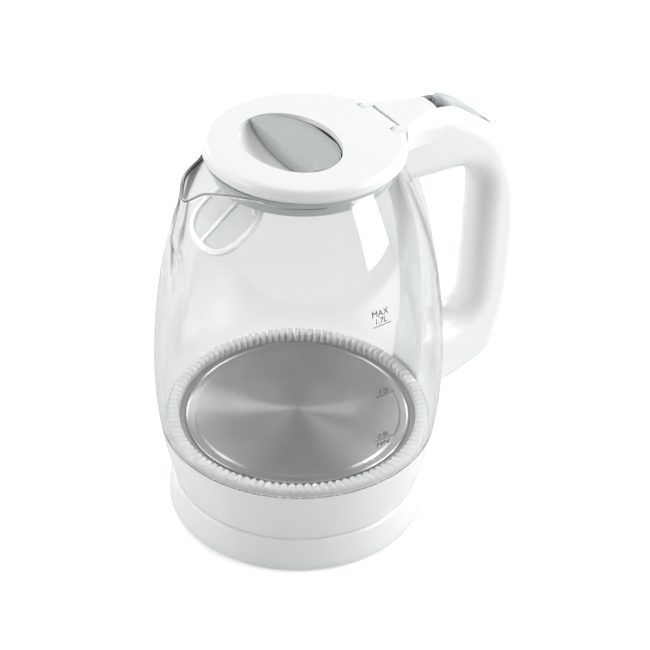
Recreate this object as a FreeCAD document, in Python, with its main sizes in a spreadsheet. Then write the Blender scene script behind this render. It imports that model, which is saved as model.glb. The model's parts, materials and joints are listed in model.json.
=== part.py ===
import FreeCAD, Part
import math
import os
import Sketcher

V = FreeCAD.Vector
doc = FreeCAD.newDocument("kettle")

SIZES = {
    # barrel of the jug: belly, lower arc, upper arc and shoulder arc
    "belly_radius": 79.0,
    "belly_height": 86.0,
    "lower_arc": 230.0,
    "upper_arc": 380.0,
    "shoulder_rise": 64.0,
    "shoulder_arc": 200.0,
    "glass_below": 30.3,
    "glass_above": 67.2,
    "glass_wall": 3.0,
    "housing_wall": 2.8,
    "seat_gap": 0.3,
    # power base
    "base_step": 6.0,
    "base_flare": 1.4,
    "base_height": 20.7,
    "base_recess": 4.7,
    "base_foot_gap": 1.2,
    "base_wall": 2.4,
    "post_radius": 10.0,
    "post_height": 12.5,
    "contact_gap": 0.6,
    "foot_radius": 6.0,
    "foot_inset": 17.0,
    "base_screw_inset": 29.0,
    # spout drawn out of the glass
    "spout_height": 44.2,
    "spout_back": 8.0,
    "spout_length": 31.0,
    "spout_tip_radius": 5.5,
    "spout_half_width": 23.0,
    # floor of the jug
    "plate_rise": 0.7,
    "plate_bead": 5.9,
    "plate_thickness": 1.2,
    "seal_width": 3.4,
    "ring_inset": 5.6,
    "ring_width": 7.2,
    "ring_rise": 4.3,
    "ring_rib_depth": 0.8,
    "ring_ribs": 120,
    "led_inset": 3.6,
    "ledge_drop": 4.7,
    "ledge_thickness": 2.5,
    "boss_inset": 12.8,
    # neck ring and lid
    "neck_inset": 33.8,
    "neck_wall": 2.0,
    "neck_depth": 7.7,
    "neck_flange": 1.5,
    "tongue_length": 17.8,
    "window_rise": 3.9,
    "window_height": 3.6,
    "window_width": 22.0,
    "lid_overhang": 6.8,
    "lid_offset": 1.75,
    "lid_gap": 2.1,
    "lid_depth": 8.1,
    "crown_rise": 1.1,
    "lid_wall": 2.4,
    "plug_inset": 2.9,
    "lid_screw_inset": 6.3,
    "scoop_centre": -7.0,
    "scoop_half_length": 24.0,
    "scoop_half_width": 32.5,
    "scoop_depth": 11.0,
    "scoop_wall": 2.0,
    "tab_short": 5.0,
    "tab_pin_back": 19.5,
    "tab_pin_depth": 4.9,
    "pin_radius": 1.5,
    "pin_fit": 0.05,
    "latch_width": 18.0,
    "latch_height": 2.4,
    "latch_back": 11.3,
    "latch_short": 0.8,
    # lid hinge
    "hinge_inset": 3.5,
    "hinge_radius": 4.0,
    "hinge_gap": 0.4,
    "barrel_half": 12.0,
    "ear_width": 5.8,
    "cover_gap": 3.5,
    # handle
    "handle_depth": 60.0,
    "handle_rise": 2.1,
    "handle_drop": 17.2,
    "handle_half_width": 14.0,
    "handle_round": 11.0,
    "grip_depth": 28.0,
    "arm_depth": 41.5,
    "lower_arm": 48.0,
    "spine_depth": 5.0,
    "spine_half_width": 12.0,
    "cavity_half_width": 8.6,
    "switch_half_width": 7.0,
    "switch_gap": 0.45,
    "switch_start": 57.8,
    "switch_length": 33.2,
    "switch_pin_back": 15.8,
    "switch_pin_drop": 16.5,
    # spout filter
    "filter_length": 34.0,
    "filter_half_width": 17.0,
    "filter_thickness": 2.0,
    "filter_border": 3.5,
    "mesh_thickness": 0.5,
}

# places that follow from the sizes
PLACES = {
    "base_radius": "belly_radius - base_step",
    "base_rim_radius": "base_radius - base_flare",
    "base_ledge": "base_height - base_recess",
    "foot_circle": "base_radius - foot_inset",
    "base_screw_circle": "base_radius - base_screw_inset",
    "post_top": "base_ledge + post_height",
    "shoulder_height": "belly_height + shoulder_rise",
    "glass_bottom": "belly_height - glass_below",
    "glass_top": "shoulder_height + glass_above",
    "spout_low": "glass_top - spout_height",
    "spout_reach": "belly_radius - spout_back",
    "spout_root": "spout_reach - spout_length",
    "ring_radius": "belly_radius - ring_inset",
    "seal_radius": "ring_radius - ring_width",
    "plate_radius": "seal_radius - seal_width",
    "plate_flat_radius": "plate_radius - plate_bead",
    "led_circle": "ring_radius - led_inset",
    "housing_screw_circle": "plate_radius - boss_inset",
    "plate_top": "glass_bottom + plate_rise",
    "ring_top": "glass_bottom + ring_rise",
    "ledge_top": "glass_bottom - ledge_drop",
    "neck_radius": "belly_radius - neck_inset",
    "neck_low": "glass_top - neck_depth",
    "neck_tongue_end": "neck_radius + tongue_length",
    "window_low": "neck_low + window_rise",
    "lid_radius": "neck_radius + lid_overhang",
    "lid_low": "glass_top + lid_gap",
    "lid_edge_top": "lid_low + lid_depth",
    "lid_crown": "lid_edge_top + crown_rise",
    "plug_radius": "neck_radius - plug_inset",
    "lid_screw_circle": "plug_radius - lid_screw_inset",
    "tab_front": "scoop_centre - tab_short",
    "tab_pin_x": "scoop_centre + tab_pin_back",
    "tab_pin_z": "lid_crown - tab_pin_depth",
    "latch_inner": "plug_radius - latch_back",
    "latch_outer": "neck_radius - latch_short",
    "hinge_x": "lid_radius - hinge_inset",
    "hinge_z": "lid_edge_top - hinge_radius",
    "ear_outer": "barrel_half + ear_width",
    "handle_front": "hinge_x + cover_gap",
    "handle_reach": "belly_radius + handle_depth",
    "handle_top": "lid_edge_top + handle_rise",
    "handle_foot": "glass_bottom - handle_drop",
    "gap_top": "handle_top - arm_depth",
    "gap_bottom": "handle_foot + lower_arm",
    "switch_front": "handle_reach - switch_start",
    "switch_tail": "switch_front + switch_length",
    "switch_pin_x": "switch_front + switch_pin_back",
    "switch_pin_z": "handle_top - switch_pin_drop",
}

sheet = doc.addObject("Spreadsheet::Sheet", "sizes")
for row, (alias, number) in enumerate(SIZES.items(), start=1):
    sheet.set("A%d" % row, alias)
    sheet.set("B%d" % row, str(number))
    sheet.setAlias("B%d" % row, alias)
doc.recompute()

NODES = []


def terms(text):
    """Signed products of a sum such as 'a - 0.5*b + 3', down to the sheet's own sizes."""
    sign = 1
    for token in text.split():
        if token in "+-":
            sign = 1 if token == "+" else -1
            continue
        factors = token.split("*")
        if factors[-1] in PLACES:
            for inner, more in terms(PLACES[factors[-1]]):
                yield sign * inner, factors[:-1] + more
        else:
            yield sign, factors
        sign = 1


def size(text):
    total = 0.0
    for sign, factors in terms(text):
        product = sign
        for factor in factors:
            product *= float(sheet.get(factor)) if factor in SIZES else float(factor)
        total += product
    return total



def bind(text):
    parts = []
    for sign, factors in terms(text):
        named = ["sizes." + f if f in SIZES else "(%s)" % f for f in factors]
        parts.append("%s %s" % ("+" if sign > 0 else "-", " * ".join(named)))
    return "0 " + " ".join(parts)


def node(obj, label):
    obj.Label = label
    NODES.append(obj)
    return obj


def place(obj, x, y, z, axis=V(0, 0, 1), angle=0):
    obj.Placement = FreeCAD.Placement(V(size(x), size(y), size(z)), FreeCAD.Rotation(axis, angle))
    for key, text in zip("xyz", (x, y, z)):
        obj.setExpression("Placement.Base." + key, bind(text))
    return obj


TURN = {"z": (V(0, 0, 1), 0), "x": (V(0, 1, 0), 90), "y": (V(1, 0, 0), -90)}


def rod(radius, length, x="0", y="0", z="0", along="z"):
    obj = doc.addObject("Part::Cylinder", "rod")
    obj.setExpression("Radius", bind(radius))
    obj.setExpression("Height", bind(length))
    return place(obj, x, y, z, *TURN[along])


def block(x0, x1, y0, y1, z0, z1):
    obj = doc.addObject("Part::Box", "block")
    for key, low, high in (("Length", x0, x1), ("Width", y0, y1), ("Height", z0, z1)):
        obj.setExpression(key, "%s - (%s)" % (bind(high), bind(low)))
    return place(obj, x0, y0, z0)


def fuse(shapes):
    obj = doc.addObject("Part::MultiFuse", "joined")
    obj.Shapes = shapes
    return obj


def cut(base, tools):
    obj = doc.addObject("Part::Cut", "cut")
    obj.Base = base
    obj.Tool = tools[0] if len(tools) == 1 else fuse(tools)
    return obj


def common(first, second):
    obj = doc.addObject("Part::Common", "common")
    obj.Base = first
    obj.Tool = second
    return obj


def plain(shape):
    """A shape worked out from the sheet, for lofts and freeform outlines."""
    obj = doc.addObject("Part::Feature", "form")
    obj.Shape = shape
    return obj


def polar(radius, degrees):
    turn = math.radians(degrees)
    return "%.6f*%s" % (math.cos(turn), radius), "%.6f*%s" % (math.sin(turn), radius)


def turned(name, points):
    """Body of revolution about Z; a third entry makes the stretch to that point an arc."""
    body = doc.addObject("PartDesign::Body", name)
    sketch = body.newObject("Sketcher::SketchObject", name + "_profile")
    plane = [f for f in body.Origin.OriginFeatures if f.Role == "XZ_Plane"][0]
    sketch.AttachmentSupport = [(plane, "")]
    sketch.MapMode = "FlatFace"
    spots = [V(size(p[0]), size(p[1]), 0) for p in points]
    ends = []
    for i, spot in enumerate(spots):
        after = (i + 1) % len(spots)
        arc = points[after][2] if len(points[after]) > 2 else None
        if arc is None:
            ends.append((sketch.addGeometry(Part.LineSegment(spot, spots[after]), False), 1, 2))
            continue
        radius = abs(size(arc))
        chord = spots[after] - spot
        middle = (spot + spots[after]) * 0.5
        side = V(-chord.y, chord.x, 0) * (1 / chord.Length)
        side = side if size(arc) > 0 else side * -1
        bow = radius - math.sqrt(radius ** 2 - chord.Length ** 2 / 4)
        geo = sketch.addGeometry(Part.Arc(spot, middle - side * bow, spots[after]), False)
        start = sketch.Geometry[geo].StartPoint
        ends.append((geo, 1, 2) if start.distanceToPoint(spot) < 1e-6 else (geo, 2, 1))
        text = arc if size(arc) > 0 else arc[2:]
        count = sketch.addConstraint(Sketcher.Constraint("Radius", geo, radius))
        sketch.setExpression("Constraints[%d]" % count, bind(text))
    for i, (geo, first, last) in enumerate(ends):
        after = ends[(i + 1) % len(ends)]
        sketch.addConstraint(Sketcher.Constraint("Coincident", geo, last, after[0], after[1]))
        for kind, text, axis in (("DistanceX", points[i][0], -2), ("DistanceY", points[i][1], -1)):
            if size(text) == 0:
                sketch.addConstraint(Sketcher.Constraint("PointOnObject", geo, first, axis))
                continue
            pin = Sketcher.Constraint(kind, -1, 1, geo, first, size(text))
            count = sketch.addConstraint(pin)
            sketch.setExpression("Constraints[%d]" % count, bind(text))
    turn = body.newObject("PartDesign::Revolution", name + "_turn")
    turn.Profile = sketch
    turn.ReferenceAxis = (sketch, ["V_Axis"])
    turn.Angle = 360.0
    sketch.Visibility = False
    return body


def rounded(corners):
    """Closed outline in XZ; each corner is x, z and the radius that rounds it."""
    edges = []
    spots = [V(c[0], 0, c[1]) for c in corners]
    stops = []
    for i, spot in enumerate(spots):
        back = (spots[i - 1] - spot).normalize()
        ahead = (spots[(i + 1) % len(spots)] - spot).normalize()
        radius = corners[i][2]
        if radius == 0:
            stops.append((spot, spot, spot))
            continue
        half = back.getAngle(ahead) / 2
        reach = radius / math.tan(half)
        inward = (back + ahead).normalize()
        tip = spot + inward * (radius / math.sin(half) - radius)
        stops.append((spot + back * reach, tip, spot + ahead * reach))
    for i, (first, tip, last) in enumerate(stops):
        if first.distanceToPoint(last) > 1e-6:
            edges.append(Part.Arc(first, tip, last).toShape())
        edges.append(Part.LineSegment(last, stops[(i + 1) % len(stops)][0]).toShape())
    return Part.Wire(edges)


def slab(corners, half_width):
    """Outline in XZ drawn out to both sides of the middle plane."""
    face = Part.Face(rounded(corners))
    solid = face.extrude(V(0, 2 * half_width, 0))
    solid.translate(V(0, -half_width, 0))
    return solid


# barrel: every wall of the jug and housing follows these arcs
BELLY = V(size("belly_radius"), 0, size("belly_height"))
LOW = BELLY - V(size("lower_arc"), 0, 0)
HIGH = BELLY - V(size("upper_arc"), 0, 0)
SHOULDER_RISE = size("shoulder_height") - size("belly_height")
SHOULDER_OUT = V(math.sqrt(size("upper_arc") ** 2 - SHOULDER_RISE ** 2), 0, SHOULDER_RISE).normalize()
TURN_IN = HIGH + SHOULDER_OUT * (size("upper_arc") - size("shoulder_arc"))


def barrel_radius(z, grow=0.0):
    """Radius of the barrel surface moved out by grow, at height z."""
    centre, arc = LOW, size("lower_arc") + grow
    if z > BELLY.z:
        centre, arc = HIGH, size("upper_arc") + grow
    if z > HIGH.z + SHOULDER_OUT.z * (size("upper_arc") + grow):
        centre, arc = TURN_IN, size("shoulder_arc") + grow
    return centre.x + math.sqrt(arc ** 2 - (z - centre.z) ** 2)


def barrel(grow, low, high):
    """Solid of revolution inside the barrel surface moved out by grow."""
    joint = HIGH.z + SHOULDER_OUT.z * (size("upper_arc") + grow)
    levels = [low] + [z for z in (BELLY.z, joint) if low < z < high] + [high]
    edges = [Part.LineSegment(V(0, 0, low), V(barrel_radius(low, grow), 0, low)).toShape()]
    for first, last in zip(levels, levels[1:]):
        heights = (first, (first + last) / 2, last)
        spots = [V(barrel_radius(z, grow), 0, z) for z in heights]
        spots[0] = edges[-1].Vertexes[-1].Point
        edges.append(Part.Arc(*spots).toShape())
    top = edges[-1].Vertexes[-1].Point
    edges.append(Part.LineSegment(top, V(0, 0, high)).toShape())
    edges.append(Part.LineSegment(V(0, 0, high), V(0, 0, low)).toShape())
    return Part.Face(Part.Wire(edges)).revolve(V(0, 0, 0), V(0, 0, 1), 360)


def spout_section(z, grow):
    """Level section of the spout: two flanks running to a rounded tip."""
    low = size("spout_low")
    share = (z - low) / (size("glass_top") - low)
    start = barrel_radius(low) - 0.2
    tip = start + share * (size("spout_reach") - start) + grow
    radius = size("spout_tip_radius") + grow
    root = size("spout_root")
    half = (0.45 + 0.55 * share) * size("spout_half_width") + grow
    centre = V(radius - tip, 0, z)
    run = tip - radius - root
    lean = math.atan2(half, run) - math.asin(min(0.99, radius / math.hypot(half, run)))
    touch = V(centre.x - radius * math.sin(lean), radius * math.cos(lean), z)
    other = V(touch.x, -touch.y, z)
    ends = (V(-root, half, z), V(-root, -half, z))
    flank = Part.LineSegment(ends[0], touch).toShape()
    nose = Part.Arc(touch, V(-tip, 0, z), other).toShape()
    back = Part.LineSegment(other, ends[1]).toShape()
    return Part.Wire([flank, nose, back, Part.LineSegment(ends[1], ends[0]).toShape()])


def spout(grow, top):
    sections = [spout_section(size("spout_low"), grow), spout_section(top, grow)]
    return Part.makeLoft(sections, True, True)


# power base
shell_full = turned("base_shell_body", [
    ("base_radius - base_wall", "base_foot_gap"), ("base_radius", "base_foot_gap"),
    ("base_radius", "base_foot_gap + 3"), ("base_rim_radius", "base_height - 1.6"),
    ("base_rim_radius - 1.5", "base_height", "1.6"), ("base_rim_radius - 2", "base_height"),
    ("base_rim_radius - 2.4", "base_ledge"), ("post_radius + 4", "base_ledge"),
    ("post_radius + 4", "base_ledge - base_wall"),
    ("base_rim_radius - 2.4", "base_ledge - base_wall"),
    ("base_radius - base_wall", "base_foot_gap + 3")])
gland_hole = rod("4.2", "12", "0", "base_radius - 8", "8", "y")
node(cut(shell_full, [gland_hole]), "base_shell")
gland_flange = rod("4.7", "2", "0", "base_radius - base_wall - 3.4", "8", "y")
gland_sleeve = rod("4.1", "7.2", "0", "base_radius - base_wall - 3.4", "8", "y")
gland_bore = rod("2.6", "20", "0", "base_radius - 12", "8", "y")
gland_trim = cut(fuse([gland_flange, gland_sleeve]), [gland_bore])
node(gland_trim, "cord_gland")

plate = rod("base_radius - base_wall - 0.15", "2", z="base_foot_gap")
plate_cuts = []
for index, degrees in enumerate((45, 135, 225, 315), start=1):
    x, y = polar("foot_circle", degrees)
    plate_cuts.append(rod("foot_radius + 0.1", "0.8", x, y, "base_foot_gap"))
    node(rod("foot_radius", "base_foot_gap + 0.8", x, y, "0"), "base_foot_%d" % index)
bosses = []
for index, degrees in enumerate((90, 210, 330), start=1):
    x, y = polar("base_screw_circle", degrees)
    plate_cuts.append(rod("1.7", "4", x, y, "base_foot_gap - 1"))
    plate_cuts.append(rod("3.3", "1.2", x, y, "base_foot_gap"))
    head = rod("3", "1.1", x, y, "base_foot_gap + 0.1")
    shank = rod("1.5", "7.6", x, y, "base_foot_gap + 1.2")
    node(fuse([head, shank]), "base_screw_%d" % index)
    pillar = rod("3.6", "base_ledge - base_wall - base_foot_gap - 2", x, y, "base_foot_gap + 2")
    bosses.append(cut(pillar, [rod("1.5", "9", x, y, "base_foot_gap")]))
node(cut(plate, plate_cuts), "base_bottom_plate")
node(fuse(bosses), "base_pillars")

post = turned("post_body", [
    ("0", "base_ledge - base_wall - 4"), ("post_radius + 8", "base_ledge - base_wall - 4"),
    ("post_radius + 8", "base_ledge - base_wall"), ("post_radius + 3.8", "base_ledge - base_wall"),
    ("post_radius + 3.8", "base_ledge + 0.6"), ("post_radius", "base_ledge + 1"),
    ("post_radius", "post_top - 9"), ("post_radius - 0.6", "post_top - 9"),
    ("post_radius - 0.6", "post_top - 5"), ("post_radius", "post_top - 5"),
    ("post_radius", "post_top - 1.5"), ("post_radius - 1.5", "post_top"),
    ("4", "post_top"), ("4", "post_top - 11"), ("0", "post_top - 11")])
node(post, "connector_post")
node(turned("contact_body", [
    ("post_radius - 0.6", "post_top - 9"), ("post_radius + 0.3", "post_top - 9"),
    ("post_radius + 0.3", "post_top - 5"), ("post_radius - 0.6", "post_top - 5")]), "post_contact_ring")
node(turned("socket_body", [
    ("3.1", "post_top - 11"), ("4", "post_top - 11"),
    ("4", "post_top - 2"), ("3.1", "post_top - 2")]), "post_socket")

# jug housing and everything it carries
housing_shell = plain(barrel(0, size("base_ledge"), size("glass_bottom")))
hollow_top = size("ledge_top") - size("ledge_thickness")
hollow = plain(barrel(-size("housing_wall"), size("base_ledge") + 5, hollow_top))
housing_cuts = [
    hollow,
    rod("base_rim_radius - 5.6", "6", z="base_ledge - 0.5"),
    rod("ring_radius + 0.2", "20", z="ledge_top"),
    rod("plate_radius - 3.8", "10", z="ledge_top - 5")]
housing_adds = []
for index, degrees in enumerate((90, 210, 330), start=1):
    x, y = polar("housing_screw_circle", degrees)
    pillar = rod("3.6", "ledge_top - ledge_thickness - base_ledge - 4", x, y, "base_ledge + 4.5")
    housing_adds.append(cut(pillar, [rod("1.5", "9", x, y, "base_ledge + 4")]))
    head = rod("3", "1.2", x, y, "base_ledge + 1.3")
    shank = rod("1.5", "9", x, y, "base_ledge + 2.5")
    node(fuse([head, shank]), "housing_screw_%d" % index)
led_holes = []
leds = []
for degrees in range(0, 360, 45):
    x, y = polar("led_circle", degrees)
    led_holes.append(rod("2", "ledge_thickness + 2", x, y, "ledge_top - ledge_thickness - 1"))
    leds.append(rod("1.6", "2", x, y, "ledge_top - ledge_thickness - 0.4"))
bolt_holes = []
for index, y in enumerate(("-5", "5"), start=1):
    bolt_holes.append(rod("1.7", "12", "belly_radius - 12", y, "handle_foot + 4.9", "x"))
    head = rod("2.8", "2", "belly_radius - 9.6", y, "handle_foot + 4.9", "x")
    shank = rod("1.5", "9.6", "belly_radius - 7.6", y, "handle_foot + 4.9", "x")
    node(fuse([head, shank]), "handle_bolt_%d" % index)
pillar_foot = rod("housing_screw_circle + 12", "ledge_thickness", z="ledge_top - ledge_thickness")
pillar_land = cut(pillar_foot, [rod("housing_screw_circle - 4.2", "10", z="ledge_top - 5")])
housing = cut(cut(housing_shell, housing_cuts), led_holes + bolt_holes)
node(fuse([housing, pillar_land] + housing_adds), "jug_housing")
board = cut(rod("ring_radius - 1.6", "1.6", z="ledge_top - ledge_thickness - 1.6"),
            [rod("ring_radius - 10", "4", z="ledge_top - ledge_thickness - 3")])
node(fuse([board] + leds), "light_board")
underplate = rod("base_rim_radius - 5.8", "2", z="base_ledge + 2.5")
under_cuts = [rod("post_radius + 11.2", "4", z="base_ledge + 1.5")]
for degrees in (90, 210, 330):
    x, y = polar("housing_screw_circle", degrees)
    under_cuts.append(rod("1.6", "4", x, y, "base_ledge + 1.5"))
node(cut(underplate, under_cuts), "jug_underplate")
node(turned("coupler_body", [
    ("post_radius + 0.3 + contact_gap", "base_ledge + 1.8"), ("post_radius + 11", "base_ledge + 1.8"),
    ("post_radius + 11", "base_ledge + 4.5"), ("post_radius + 17", "base_ledge + 4.5"),
    ("post_radius + 17", "base_ledge + 7"), ("post_radius + 11", "base_ledge + 7"),
    ("post_radius + 11", "post_top + 5.5"), ("2.5", "post_top + 5.5"),
    ("2.5", "post_top + 2"), ("post_radius + 0.3 + contact_gap", "post_top + 2")]), "jug_coupler")
node(rod("2.5", "12", z="post_top - 6.5"), "coupler_pin")
node(block("-16", "16", "-21", "21", "post_top + 5.5", "post_top + 14"), "control_unit")
node(turned("heating_plate_body", [
    ("0", "plate_top - plate_thickness"), ("plate_flat_radius - 0.8", "plate_top - plate_thickness"),
    ("plate_flat_radius + 0.6", "plate_top - 2.2"), ("plate_radius - 1", "plate_top - 2.2"),
    ("plate_radius - 1", "ledge_top"), ("plate_radius", "ledge_top"),
    ("plate_radius", "plate_top - 0.8"), ("plate_radius - 0.7", "plate_top - 0.4"),
    ("plate_radius - 1.5", "plate_top - 1"), ("plate_flat_radius + 1.2", "plate_top - 1"),
    ("plate_flat_radius", "plate_top"), ("0", "plate_top")]), "heating_plate")
node(turned("seal_body", [
    ("plate_radius", "ledge_top"), ("seal_radius", "ledge_top"),
    ("seal_radius", "plate_top - 1.4"), ("plate_radius + 0.6", "plate_top - 1.4"),
    ("plate_radius", "plate_top - 2")]), "plate_seal")
node(rod("plate_flat_radius - 5", "2", z="plate_top - plate_thickness - 2"), "heat_spreader")
coil = doc.addObject("Part::Torus", "coil")
coil.setExpression("Radius1", bind("plate_flat_radius - 15"))
coil.setExpression("Radius2", "3.3")
coil.Angle3 = 300
place(coil, "0", "0", "plate_top - plate_thickness - 5.3", V(0, 0, 1), 30)
terminals = []
for degrees in (30, 330):
    turn = math.radians(degrees)
    x = "%.6f*plate_flat_radius - %.6f" % (math.cos(turn), 15 * math.cos(turn))
    y = "%.6f*plate_flat_radius - %.6f" % (math.sin(turn), 15 * math.sin(turn))
    terminals.append(rod("2.4", "9", x, y, "plate_top - plate_thickness - 14.3"))
node(fuse([coil] + terminals), "heating_element")

count = int(size("ring_ribs"))
inner = size("seal_radius") + 0.1
spots = []
for step in range(2 * count):
    angle = math.pi * step / count
    reach = inner + (size("ring_rib_depth") if step % 2 else 0)
    spots.append(V(reach * math.cos(angle), reach * math.sin(angle), size("ledge_top")))
rib_height = V(0, 0, size("ring_top") - size("ledge_top"))
teeth = Part.Face(Part.makePolygon(spots + spots[:1])).extrude(rib_height)
ring_outer = turned("ring_outer_body", [
    ("0", "ledge_top"), ("ring_radius", "ledge_top"), ("ring_radius", "ring_top - 2"),
    ("ring_radius - 2", "ring_top", "2"), ("0", "ring_top")])
node(cut(ring_outer, [plain(teeth)]), "light_ring")

# glass jug with its spout
glass = barrel(0, size("glass_bottom"), size("glass_top")).fuse(spout(0, size("glass_top")))
bore = barrel(-size("glass_wall"), size("glass_bottom") - 1, size("glass_top") + 1)
bore = bore.fuse(spout(-size("glass_wall"), size("glass_top") + 1))
node(plain(glass.cut(bore).removeSplitter()), "glass_jug")

# neck ring
ring = turned("neck_body", [
    ("neck_radius - neck_wall", "neck_low"), ("neck_radius", "neck_low"), ("neck_radius", "glass_top"),
    ("neck_radius + 3.6", "glass_top"), ("neck_radius + 3.6", "glass_top + neck_flange"),
    ("neck_radius - neck_wall", "glass_top + neck_flange")])
tongue = block("neck_radius", "neck_tongue_end", "-9", "9", "glass_top", "glass_top + neck_flange")
windows = []
for degrees in (0, 120, 240):
    turn = math.radians(degrees)
    window = block("0", "20", "0", "window_width", "window_low", "window_low + window_height")
    x = "%.6f*neck_radius + %.6f*window_width" % (math.cos(turn) * 0.8, math.sin(turn) / 2)
    y = "%.6f*neck_radius - %.6f*window_width" % (math.sin(turn) * 0.8, math.cos(turn) / 2)
    windows.append(place(window, x, y, "window_low", V(0, 0, 1), degrees))
node(cut(fuse([ring, tongue]), windows), "neck_ring")

# spout filter, leaning out from under the neck ring
lean = math.degrees(math.atan2(15, 30))
length = size("filter_length")
half = size("filter_half_width")
edge = size("filter_border")


def leaf(inset, low, thickness):
    """Tongue outline with a round lower end, in its own plane."""
    wide = half - inset
    deep = length - inset - wide
    first = V(low, wide, -inset)
    spots = [first, V(low, wide, -deep), V(low, -wide, -deep), V(low, -wide, -inset)]
    bow = Part.Arc(spots[1], V(low, 0, -deep - wide), spots[2]).toShape()
    lines = [Part.LineSegment(spots[0], spots[1]).toShape(), bow]
    lines.append(Part.LineSegment(spots[2], spots[3]).toShape())
    lines.append(Part.LineSegment(spots[3], spots[0]).toShape())
    return Part.Face(Part.Wire(lines)).extrude(V(thickness, 0, 0))


def leaned(shape):
    shape.rotate(V(0, 0, 0), V(0, 1, 0), lean)
    shape.translate(V(-size("neck_radius") + 0.4, 0, size("neck_low") - 2.6))
    return shape


thick = size("filter_thickness")
frame = leaf(0, 0, thick).cut(leaf(edge, -1, thick + 2))
rib = Part.makeBox(thick, edge * 0.8, length - 1, V(0, -edge * 0.4, 0.5 - length))
frame = leaned(frame.fuse(rib).removeSplitter())
lug = Part.makeBox(4.4, 18, 3.2, V(-size("neck_radius") - 0.6, -9, size("neck_low") - 3.2))
node(plain(frame.fuse(lug).removeSplitter()), "filter_frame")
node(plain(leaned(leaf(edge - 1, thick, size("mesh_thickness")))), "filter_mesh")

# lid
cover_turn = turned("lid_cover_body", [
    ("lid_radius - 4", "lid_low"), ("lid_radius - 1.6", "lid_low"),
    ("lid_radius", "lid_low + 2"), ("lid_radius", "lid_edge_top - 3.5"),
    ("lid_radius - 3.5", "lid_edge_top", "3.5"), ("0", "lid_crown"),
    ("0", "lid_crown - lid_wall"), ("lid_radius - 4", "lid_edge_top - lid_wall")])
place(cover_turn, "lid_offset", "0", "0")


def egg(grow, z_shift="0"):
    obj = doc.addObject("Part::Ellipsoid", "egg")
    obj.Angle1 = -90
    obj.Angle2 = 90
    obj.setExpression("Radius1", bind("scoop_depth" + grow))
    obj.setExpression("Radius2", bind("scoop_half_length" + grow))
    obj.setExpression("Radius3", bind("scoop_half_width" + grow))
    return place(obj, "scoop_centre", "0", "lid_crown - 1 + " + z_shift)


bowl = common(egg(" + scoop_wall"), block("-60", "60", "-60", "60", "lid_low - 20", "lid_crown - 1.2"))
lid_bosses = []
plug_cuts = []
for index, degrees in enumerate((0, 145, 215), start=1):
    x, y = polar("lid_screw_circle", degrees)
    pillar = rod("3.2", "lid_edge_top - neck_low - 3.6", x, y, "neck_low + 2.2")
    lid_bosses.append(cut(pillar, [rod("1.3", "8", x, y, "neck_low")]))
    plug_cuts.append(rod("1.4", "8", x, y, "neck_low - 1"))
    plug_cuts.append(rod("2.8", "1.2", x, y, "neck_low"))
    head = rod("2.5", "1.1", x, y, "neck_low + 0.1")
    shank = rod("1.3", "6.6", x, y, "neck_low + 1.2")
    node(fuse([head, shank]), "lid_screw_%d" % index)
web = block("hinge_x - 6", "hinge_x", "-1*barrel_half", "barrel_half", "lid_low + 1.4", "lid_edge_top")
knuckle = rod("hinge_radius", "2*barrel_half", "hinge_x", "-1*barrel_half", "hinge_z", "y")
notch = block("hinge_x - hinge_radius - hinge_gap", "lid_radius + 10", "-1*ear_outer - hinge_gap",
              "ear_outer + hinge_gap", "lid_low - 2", "lid_crown + 2")
tab_bore = rod("pin_radius", "36", "tab_pin_x", "-18", "tab_pin_z", "y")
knuckle_bore = rod("pin_radius + pin_fit", "40", "hinge_x", "-20", "hinge_z", "y")
cover_full = fuse([cut(cover_turn, [notch]), bowl, web, knuckle] + lid_bosses)
node(cut(cover_full, [egg(""), tab_bore, knuckle_bore]), "lid_cover")
node(rod("pin_radius", "2*ear_outer - 1", "hinge_x", "0.5 - ear_outer", "hinge_z", "y"), "lid_hinge_pin")
node(rod("pin_radius", "36", "tab_pin_x", "-18", "tab_pin_z", "y"), "tab_pin")

tab_block = block("tab_front", "30", "-40", "40", "lid_low - 6", "lid_crown - 0.4")
tab_form = common(egg(" - 0.8"), tab_block)
tab_slope = block("0", "60", "-40", "40", "0", "12")
place(tab_slope, "tab_front", "-40", "lid_crown - 0.3", V(0, 1, 0), 5.5)
tab_hollow = block("tab_front + 3", "tab_pin_x - 3.4", "-20", "20", "lid_low - 8", "lid_crown - 5")
tab_rear = block("tab_pin_x + 2.1", "40", "-40", "40", "lid_low - 8", "lid_crown + 4")
tab_hole = rod("pin_radius + pin_fit", "60", "tab_pin_x", "-30", "tab_pin_z", "y")
node(cut(tab_form, [tab_slope, tab_hollow, tab_rear, tab_hole]), "lid_tab")

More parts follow.
